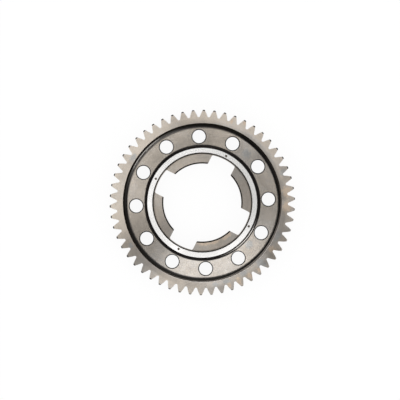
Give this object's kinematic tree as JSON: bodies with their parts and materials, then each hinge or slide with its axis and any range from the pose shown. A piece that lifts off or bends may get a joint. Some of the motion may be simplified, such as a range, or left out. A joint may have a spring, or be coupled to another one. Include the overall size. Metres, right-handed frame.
{
  "type": "spur gear with lugged bore",
  "caption": "Straight-cut spur gear with a recessed, drilled web and a ground hub ring, whose bore has lugs and slots for a sliding key.",
  "frame": {"origin": "on the gear's axis, in the plane of the hub ring's back face on which it lies", "axes": "+Z along the axis towards the front face with the punch dimples; +X and +Y along the centre lines of two neighbouring slots"},
  "size_m": [0.084, 0.084, 0.011],
  "materials": {
    "gear_steel": "turned and ground steel, warm grey with faint oil stains, brighter on the hub ring"
  },
  "bodies": {
    "root": {"gear": "gear_steel"}
  },
  "joints": []
}
